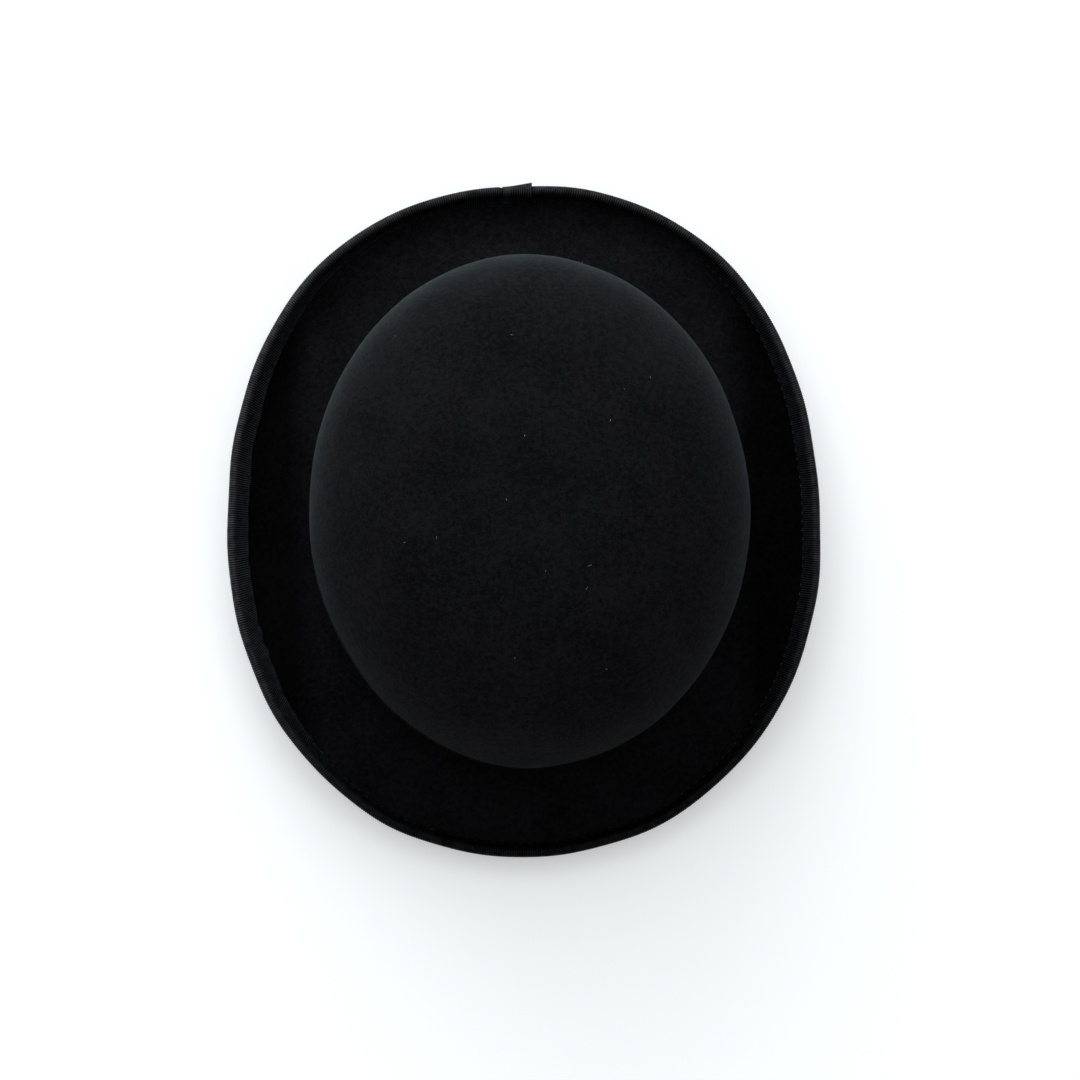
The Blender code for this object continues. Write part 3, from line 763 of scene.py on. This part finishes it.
def make_brim_binding():
    number, ridge = ribs(BINDING_RIBS, RIB_DEPTH)
    start = LAP_START + (LAP_END - LAP_START) * number / BINDING_RIBS
    skew = math.radians(4) - math.radians(22) * near(start, math.radians(212), math.radians(48))
    skew = skew + math.radians(2.5) * round_waves(start, 9, 31, 42)
    upper = BINDING_WIDTH - 0.0012 * smooth(np.cos(start) * 1.4) + 0.00020 * round_waves(start, 12, 40, 43)
    upper = upper + 0.0008 * (pucker(start) - 0.4) * rumple(start)
    lower = BINDING_WIDTH + 0.00025 * round_waves(start, 12, 40, 44)
    shares = np.array([1.0, 0.985, 0.93, 0.80, 0.64, 0.48, 0.32, 0.16, 0.0])
    bevels = np.array([0.0004, 0.00008, 0.0, 0.0, 0.0, 0.0, 0.0, 0.0, 0.0])

    def turned(along):
        return start + np.tan(skew) * along / 0.135

    rows = []
    for share, bevel in zip(shares, bevels):
        rows.append(binding_face(turned(share * upper), share * upper, 1, BOUND_EDGE - bevel + ridge))
    for angle in np.linspace(0, math.pi, 7)[1:-1]:
        rows.append(edge_point(start, angle, BOUND_EDGE + ridge + lap_lift(start)))
    for share, bevel in zip(shares[::-1], bevels[::-1]):
        rows.append(binding_face(turned(-share * lower), share * lower, -1, BOUND_EDGE - bevel + ridge))
    inner = BOUND_EDGE - THIN_RIBBON
    for share in (0.995, 0.4):
        rows.append(binding_face(turned(-share * lower), share * lower, -1, inner + 0 * start))
    rows.append(edge_point(start, math.pi / 2, inner + lap_lift(start)))
    for share in (0.4, 0.995):
        rows.append(binding_face(turned(share * upper), share * upper, 1, inner + 0 * start))
    points = np.stack(rows)
    build(
        "vis_brim_binding", points, grosgrain, "grosgrain", wrap_rows=True, caps=("first_col", "last_col"),
        u=number, v=np.linspace(0, 2000 * BINDING_WIDTH, len(rows)), replaces="brim_binding",
    )

    count = 208
    middle = np.linspace(BACK + 0.07, BACK + TURN - 0.07, count)
    half = 0.0008 / 0.135
    for side, name in ((1, "vis_binding_stitches_upper"), (-1, "vis_binding_stitches_lower")):
        inset = np.full(count, BINDING_WIDTH - 0.0013)
        face = BOUND_EDGE + 0.00006
        starts = binding_face(middle - half, inset, side, face)
        ends = binding_face(middle + half, inset, side, face)
        lift = binding_face(middle, inset, side, face + 0.001) - binding_face(middle, inset, side, face)
        stitches(name, starts, ends, lift, 0.00011, black_thread)


# ------------------------------------------------------------------ the band and its bow


def make_hat_band():
    number, ridge = ribs(BAND_RIBS, FINE_RIB_DEPTH)
    thetas = 0.0015 + (TURN - 0.003) * number / BAND_RIBS
    rows = strip_rows(BAND_LOW, BAND_LOW + BAND_WIDTH, 10, 0.00005, BAND_OUT - 0.0001, hem=0.00008)

    def push(theta, height, out):
        outer = out > BAND_OUT / 2
        loose = 0.00010 * waves(np.stack([theta * 0.1, height, 0 * height], axis=-1), 0.03, 51)
        return height + 0.0002 * round_waves(theta, 3, 9, 52), out + outer * (ridge[None, :] + np.abs(loose))

    wall_piece("vis_hat_band", thetas, rows, grosgrain, "grosgrain", push=push, u=number, replaces="hat_band")


def make_bow_tail():
    half = TAIL_LENGTH / FOOT_HALF_Y
    number, ridge = ribs(TAIL_RIBS, FINE_RIB_DEPTH)
    thetas = half * (number * 2 / TAIL_RIBS - 1)
    low, high = BOW_MIDDLE - BOW_WIDTH / 2, BOW_MIDDLE + BOW_WIDTH / 2
    rows = strip_rows(low, high, 9, TAIL_OUT - RIBBON, TAIL_OUT, hem=0.0001)

    def push(theta, height, out):
        ends = smooth((np.abs(theta) / half - 0.90) / 0.10)
        notch = 1 - 0.22 * ends * (height - BOW_MIDDLE) / BOW_WIDTH * np.sign(theta)
        curl = 0.0004 * ends
        middle = BOW_MIDDLE + (height - BOW_MIDDLE) * (1 - 0.02 * ends)
        return middle, out + (out > TAIL_OUT - RIBBON / 2) * ridge[None, :] + curl * notch

    wall_piece("vis_bow_tail", thetas, rows, grosgrain, "grosgrain", push=push, u=number, replaces="bow_tail")


def make_bow_loop(name, side, node):
    """A flattened loop of ribbon, drawn in a little under the knot."""
    far = LOOP_LENGTH / FOOT_HALF_Y
    inner, outer = LOOP_IN, LOOP_OUT
    middle_out = (inner + outer) / 2
    number, ridge = ribs(LOOP_RIBS, FINE_RIB_DEPTH)
    run = GAP / FOOT_HALF_Y + (far - GAP / FOOT_HALF_Y) * number / LOOP_RIBS
    swell = 0.0003 * np.sin(math.pi * number / LOOP_RIBS)
    path = [(r, inner + RIBBON / 2, g) for r, g in zip(run, ridge)]
    fold = outer - inner
    for k in range(1, 12):
        angle = -QUARTER + math.pi * k / 12
        reach_out = far + math.cos(angle) * fold / 2 / FOOT_HALF_Y
        path.append((reach_out, middle_out + math.sin(angle) * (fold / 2 - RIBBON / 2), 0.00008))
    path += [(r, outer - RIBBON / 2 + s, g) for r, s, g in zip(run[::-1], swell[::-1], ridge[::-1])]
    theta_mid, out_mid, rib = np.array(path).T
    ahead = np.gradient(np.stack([theta_mid * FOOT_HALF_Y, out_mid], axis=1), axis=0)
    ahead /= np.linalg.norm(ahead, axis=1, keepdims=True)
    square = np.stack([ahead[:, 1], -ahead[:, 0]], axis=1)
    rows = []
    heights = np.linspace(-0.5, 0.5, 9) * BOW_WIDTH
    pinch = 1 - 0.05 * smooth(1 - theta_mid / far * 2.2)
    for depth, order in ((RIBBON / 2, heights), (-RIBBON / 2, heights[::-1])):
        for h in order:
            thick = depth + np.sign(depth) * (rib if depth > 0 else 0 * rib)
            if abs(h) > 0.49 * BOW_WIDTH:
                thick = thick * 0.6
            theta = side * (theta_mid + square[:, 0] * thick / FOOT_HALF_Y)
            rows.append(wall_point(theta, BOW_MIDDLE + h * pinch, out_mid + square[:, 1] * thick))
    points = np.stack(rows)
    steps = np.diff(np.stack([theta_mid * FOOT_HALF_Y, out_mid]), axis=1)
    number = np.concatenate([[0.0], np.cumsum(np.hypot(*steps))]) / RIB_PITCH
    build(
        name, points, grosgrain, "grosgrain", wrap_rows=True, caps=("first_col", "last_col"), u=number,
        v=1000 * np.concatenate([heights, heights[::-1]]), replaces=node,
    )


def make_bow_knot():
    """Ribbon wrapped up and down over the middle of the bow; its ribs run level."""
    half = KNOT_WIDTH / 2 / FOOT_HALF_Y
    thetas = np.linspace(-half, half, 25)
    low, high = BOW_MIDDLE - BOW_WIDTH / 2 - GAP - RIBBON, BOW_MIDDLE + BOW_WIDTH / 2 + GAP + RIBBON
    inner, outer = BAND_OUT + SLACK, KNOT_OUT
    number, ridge = ribs(KNOT_RIBS, FINE_RIB_DEPTH)
    front = low + 0.0006 + (high - low - 0.0012) * number / KNOT_RIBS
    rows = [(low + 0.003, inner), (low, inner), (low, outer - 0.0008), (low + 0.0003, outer - 0.0003)]
    rows += [(h, outer + g) for h, g in zip(front, ridge)]
    rows += [(high - 0.0003, outer - 0.0003), (high, outer - 0.0008), (high, inner), (high - 0.003, inner)]
    rows += [(high - 0.003, inner + RIBBON), (high - RIBBON, inner + RIBBON), (high - RIBBON, outer - RIBBON)]
    rows += [(low + RIBBON, outer - RIBBON), (low + RIBBON, inner + RIBBON), (low + 0.003, inner + RIBBON)]

    def push(theta, height, out):
        edge = smooth((np.abs(theta) / half - 0.8) / 0.2)
        crease = 0.0001 * np.cos(theta / half * math.pi * 1.5)
        return height, out + (crease - 0.0002 * edge) * (out > outer - RIBBON / 2)

    v = 1000 * (np.array([row[0] for row in rows]) - low - 0.0006)
    wall_piece(
        "vis_bow_knot", thetas, rows, grosgrain, "grosgrain", push=push, u=v, v=thetas * 100, turned=True,
        replaces="bow_knot",
    )


# ------------------------------------------------------------------ inside the head opening


def make_sweatband():
    half_joint = 0.0002 / FOOT_HALF_X
    thetas = np.linspace(BACK + half_joint, BACK + TURN - half_joint, 721)
    low, high = SWEATBAND_LOW, SWEATBAND_LOW + SWEATBAND_WIDTH
    heights = np.concatenate([[0, 0.0004, 0.0012], np.linspace(0.003, SWEATBAND_WIDTH - 0.003, 14)])
    heights = low + np.append(heights, [SWEATBAND_WIDTH - 0.0012, SWEATBAND_WIDTH - 0.0004, SWEATBAND_WIDTH])
    rounding = np.zeros(len(heights))
    rounding[[0, -1]] = 0.00035
    rounding[[1, -2]] = 0.00008
    rows = [(h, SWEATBAND_IN + r) for h, r in zip(heights, rounding)]
    rows += [(h, SWEATBAND_OUT) for h in heights[::-4]]

    def push(theta, height, out):
        up = (height - low) / SWEATBAND_WIDTH
        sway = 0.0003 * round_waves(theta, 4, 13, 61) * smooth(up)
        groove = 0.00018 * np.exp(-(((height - low - STITCH_HEIGHT) / 0.0006) ** 2))
        crease = 0.00022 * np.exp(-(((height - high + 0.0022) / 0.0004) ** 2))
        inner = out < (SWEATBAND_IN + SWEATBAND_OUT) / 2
        uneven = 0.0004 * round_waves(theta, 5, 17, 62) * smooth((up - 0.7) / 0.3)
        return height + uneven, out - np.abs(sway) * up + inner * (groove + crease)

    wall_piece("vis_sweatband", thetas, rows, leather, "sweatband_leather", push=push, replaces="sweatband")


def ring_path(count, height, out):
    theta = np.linspace(0, TURN, count, endpoint=False)
    return wall_point(theta, height + 0 * theta, out)


def make_reed_and_tape():
    path = ring_path(720, REED_HEIGHT, REED_OUT)
    cord_ring(
        "vis_sweatband_reed", path, REED_DIAMETER / 2, 0.2, 0.02, reed_plastic, "reed_plastic",
        replaces="sweatband_reed",
    )

    angles = -np.linspace(0, math.pi, 13)
    outer, inner = TAPE_INNER_RADIUS + TAPE, TAPE_INNER_RADIUS
    levels = [TAPE_TOP, TAPE_TOP * 0.7, TAPE_TOP * 0.45]
    rows = [(level, REED_OUT + outer) for level in levels]
    rows += [(REED_HEIGHT + outer * math.sin(a), REED_OUT + outer * math.cos(a)) for a in angles]
    rows += [(REED_HEIGHT + inner * math.sin(a), REED_OUT + inner * math.cos(a)) for a in angles[::-1]]
    rows += [(level, REED_OUT + inner) for level in levels[::-1]]
    thetas = np.linspace(0, TURN, 720, endpoint=False)

    def push(theta, height, out):
        return height, out + 0.00006 * round_waves(theta, 90, 150, 63)

    wall_piece(
        "vis_reed_tape", thetas, rows, cotton_tape, "cotton_tape", wrap=True, push=push, replaces="reed_tape",
    )


def make_sweatband_stitching():
    count = 164
    middle = np.linspace(0, TURN, count, endpoint=False) + 0.01
    half = TURN / count * 0.36
    height = SWEATBAND_LOW + STITCH_HEIGHT + 0 * middle
    starts = wall_point(middle - half, height - 0.0002, SWEATBAND_IN)
    ends = wall_point(middle + half, height + 0.0002, SWEATBAND_IN)
    lift = wall_point(middle, height, SWEATBAND_IN - 0.001) - wall_point(middle, height, SWEATBAND_IN)
    name = "vis_sweatband_stitching"
    stitches(name, starts, ends, lift, 0.00026, thread, replaces="sweatband_stitching")


def make_sweatband_bow():
    """A small bow of narrow ribbon over the joint: two loops drawn together by a knot."""
    middle = SWEATBAND_LOW + INNER_BOW_HEIGHT
    face = SWEATBAND_IN - 0.0002
    rows = []
    around = np.linspace(0, TURN, 28, endpoint=False)
    loop = np.linspace(0.08, 1, 26)
    along = np.concatenate([-loop[::-1], np.linspace(-0.04, 0.04, 5), loop])
    away = np.abs(along)
    rounded = np.sqrt(np.clip(1 - (away - 0.86).clip(0) ** 2 / 0.14**2, 0.02, 1))
    tall = 0.0014 + 0.0024 * smooth(away * 1.25) * rounded
    knot = away < 0.15
    tall = np.where(knot, 0.0019, tall)
    deep = np.where(knot, 0.0010, 0.00045 + 0.0004 * np.sin(away.clip(0, 1) * math.pi))
    for angle in around:
        crease = 0.00012 * np.cos(5 * angle) * smooth(1 - away * 1.6) * ~knot
        height = middle + tall * np.cos(angle)
        out = face - deep - (deep + crease) * np.sin(angle)
        rows.append(wall_point(BACK + along * INNER_BOW_HALF / FOOT_HALF_X, height, out))
    build(
        "vis_sweatband_bow", np.stack(rows), brown_ribbon, "brown_ribbon", wrap_rows=True,
        caps=("first_col", "last_col"), u=along * INNER_BOW_HALF, v=around * 0.001, replaces="sweatband_bow",
    )


def make_size_label():
    middle = SWEATBAND_LOW + SWEATBAND_WIDTH / 2
    start = BACK + LABEL_OFFSET / FOOT_HALF_X
    thetas = np.linspace(start, start + LABEL_LENGTH / FOOT_HALF_X, 41)
    face = SWEATBAND_IN - 0.0001
    heights = middle + np.linspace(-0.5, 0.5, 15) * LABEL_WIDTH
    share = np.linspace(-1, 1, 15)
    hem = np.where(np.abs(share) > 0.8, 0.00018, 0.0)
    rows = [(h, face - SATIN - b) for h, b in zip(heights, hem)] + [(h, face) for h in heights[::-4]]

    def push(theta, height, out):
        along = (theta - start) / (LABEL_LENGTH / FOOT_HALF_X)
        ends = smooth((np.abs(along - 0.5) * 2 - 0.86) / 0.05)
        lifted = out < face - SATIN / 2
        edges = smooth(np.abs(height - middle) / LABEL_WIDTH * 2) ** 3
        return height, out - lifted * 0.00016 * ends - 0.0002 * edges

    wall_piece("vis_size_label", thetas, rows, label_cloth, "label_cloth", push=push, replaces="size_label")


def make_lining():
    """The satin band inside the crown, gathered a little towards the seam, and the oval above it."""
    theta = np.linspace(0, TURN, 900, endpoint=False)[None, :]
    clear = (PIPING_DIAMETER / 2 + GAP) / (CROWN_HEIGHT - BULGE_HEIGHT)
    heights = np.linspace(LINING_LOW, BULGE_HEIGHT, 14)[:-1, None]
    climbs = np.linspace(0, SEAM_ANGLE - clear, 26)[:, None]

    def folds(share, where):
        pleat = np.abs(round_waves(where, 46, 92, 71)) * 0.0011 * smooth(share) ** 1.5
        return pleat + 0.0005 * (0.5 + 0.5 * round_waves(where, 7, 19, 72)) * smooth(share * 2)

    total = 13 + 26
    share_wall = np.arange(13)[:, None] / total
    share_dome = (13 + np.arange(26))[:, None] / total
    faces = []
    for deep in (0.0, SATIN):
        faces.append(np.concatenate([
            wall_point(theta, heights, BACKING_OUT - deep - folds(share_wall, theta)),
            dome_point(theta, climbs, BACKING_OUT - deep - folds(share_dome, theta)),
        ]))
    points = np.concatenate([faces[0], faces[1][::-1]])
    u = theta[0] * 0.09
    v = np.concatenate([np.arange(total), np.arange(total)[::-1]]) * 0.0021
    side = build(
        "vis_lining_side", points, satin, "lining_satin", wrap_rows=True, wrap_cols=True, u=u, v=v,
        replaces="lining_side",
    )

    climbs = np.linspace(QUARTER * 0.994, SEAM_ANGLE + clear, 46)[:, None]
    share = np.linspace(0, 1, 46)[:, None]
    faces = []
    for deep in (0.0, SATIN):
        flat = dome_point(theta[:, ::2], climbs, BACKING_OUT - deep)
        sag = 0.0011 * (1 - share**4) * (0.6 + 0.4 * waves(flat, 0.05, 73))
        pull = 0.0004 * np.abs(round_waves(theta[:, ::2], 30, 64, 74)) * smooth((share - 0.6) / 0.4)
        flat[..., 2] -= sag + pull
        faces.append(flat)
    points = np.concatenate([faces[0], faces[1][::-1]])
    v = np.concatenate([np.arange(46), np.arange(46)[::-1]]) * 0.0018
    tip = build(
        "vis_lining_tip", points, satin, "lining_satin", wrap_cols=True, caps=("first_row", "last_row"),
        u=theta[0, ::2] * 0.05, v=v, replaces="lining_tip",
    )
    around = np.linspace(0, TURN, 1080, endpoint=False)
    path = dome_point(around, np.full(around.shape, SEAM_ANGLE), BACKING_OUT - PIPING_DIAMETER / 2)
    cord_ring(
        "vis_lining_piping", path, PIPING_DIAMETER / 2, 0.0045, 0.16, satin, "lining_satin",
        replaces="lining_piping",
    )
    return side, tip


# ------------------------------------------------------------------ lint on the felt


def make_lint():
    """A few pale fibres caught on the felt."""
    chance = np.random.default_rng(5)
    spots = [(-0.0046, 0.0245), (0.0196, -0.0283), (0.0258, -0.0691), (0.0300, 0.0300), (-0.0410, -0.0150)]
    spots += [(chance.uniform(-0.06, 0.06), chance.uniform(-0.07, 0.07)) for _ in range(9)]
    starts, ends, lift = [], [], []
    for k, (x, y) in enumerate(spots):
        across = math.hypot(x / (FOOT_HALF_X + CROWN_BULGE), y / (FOOT_HALF_Y + CROWN_BULGE))
        theta = np.array([math.atan2(y / FOOT_HALF_Y, x / FOOT_HALF_X)])
        climb = np.arccos(np.array([across]) ** (DOME_FULLNESS / 2))
        base = dome_point(theta, climb, 0.00012)[0]
        heading = chance.uniform(0, TURN)
        size = chance.uniform(0.0004, 0.0011) * (1.4 if k < 3 else 0.7)
        step = np.array([math.cos(heading), math.sin(heading), 0.0]) * size
        slope = dome_point(theta, climb, 0.001)[0] - base
        slope /= np.linalg.norm(slope)
        step -= slope * (step @ slope)
        starts.append(base - step)
        ends.append(base + step)
        lift.append(slope)
    starts.append(brim_point(np.array([1.28]), 1.5, FELT / 2 + 0.00012)[0])
    ends.append(brim_point(np.array([1.276]), 1.51, FELT / 2 + 0.00012)[0])
    lift.append(np.array([0.0, 0.0, 1.0]))
    stitches("vis_lint", starts, ends, lift, 0.00006, lint_fibre)


make_felt_body()
make_brim_binding()
make_hat_band()
make_bow_tail()
make_bow_loop("vis_bow_back_loop", 1, "bow_back_loop")
make_bow_loop("vis_bow_front_loop", -1, "bow_front_loop")
make_bow_knot()
make_sweatband()
make_reed_and_tape()
make_sweatband_stitching()
make_sweatband_bow()
make_size_label()
lining_side, lining_tip = make_lining()
make_lint()

# ------------------------------------------------------------------ floor, light and camera


def make_floor():
    mesh = bpy.data.meshes.new("floor")
    corners = [(-3.0, -3.0, 0.0), (3.0, -3.0, 0.0), (3.0, 3.0, 0.0), (-3.0, 3.0, 0.0)]
    mesh.from_pydata(corners, [], [(0, 1, 2, 3)])
    mesh.materials.append(make_floor_finish())
    floor = bpy.data.objects.new("floor", mesh)
    bpy.context.scene.collection.objects.link(floor)


def aim(made, place, target, roll=0.0):
    facing = (Vector(target) - Vector(place)).normalized()
    right = facing.cross(Vector((0, 1, 0)) if abs(facing.z) > 0.9 else Vector((0, 0, 1))).normalized()
    over = right.cross(facing)
    turn = Matrix((right, over, -facing)).transposed().to_4x4()
    made.matrix_world = Matrix.Translation(place) @ turn @ Matrix.Rotation(roll, 4, "Z")


def make_light(name, place, size, power, color):
    data = bpy.data.lights.new(name, "AREA")
    data.shape = "RECTANGLE"
    data.size, data.size_y = size
    data.energy = power
    data.color = color
    light = bpy.data.objects.new(name, data)
    bpy.context.scene.collection.objects.link(light)
    aim(light, place, (0, 0, 0.05))


def make_world():
    """A soft studio dome, brightest over the back of the hat and dim in front of it."""
    world = bpy.data.worlds.new("studio")
    bpy.context.scene.world = world
    world.use_nodes = True
    tree = world.node_tree
    direction = add(tree, "ShaderNodeTexCoord").outputs["Generated"]
    bright_way = Vector((-0.20, 0.80, 0.56)).normalized()
    sockets = {0: direction, 1: bright_way}
    toward = add(tree, "ShaderNodeVectorMath", sockets, operation="DOT_PRODUCT").outputs["Value"]
    lobe = calc(tree, "POWER", calc(tree, "MAXIMUM", toward, 0.0), 3.5)
    sockets = {0: lobe, 1: DOME_LIGHT, 2: DOME_LOW}
    strength = add(tree, "ShaderNodeMath", sockets, operation="MULTIPLY_ADD").outputs["Value"]
    backdrop = tree.nodes["Background"]
    backdrop.inputs["Color"].default_value = (0.93, 0.98, 1.0, 1)
    tree.links.new(strength, backdrop.inputs["Strength"])


def make_camera():
    data = bpy.data.cameras.new("camera")
    data.sensor_width = 36.0
    data.lens = 119.0
    data.clip_end = 20.0
    camera = bpy.data.objects.new("camera", data)
    bpy.context.scene.collection.objects.link(camera)
    aim(camera, CAMERA_PLACE, CAMERA_TARGET, CAMERA_ROLL)
    bpy.context.scene.camera = camera


make_floor()
make_light("key", (-0.34, 1.55, 0.78), (1.1, 0.6), 10.0, (0.90, 0.97, 1.0))
make_world()
make_camera()
view = bpy.context.scene.view_settings
view.view_transform = "Standard"
view.use_curve_mapping = True
view.curve_mapping.black_level = (BLACK_LEVEL, BLACK_LEVEL, BLACK_LEVEL)
view.curve_mapping.update()
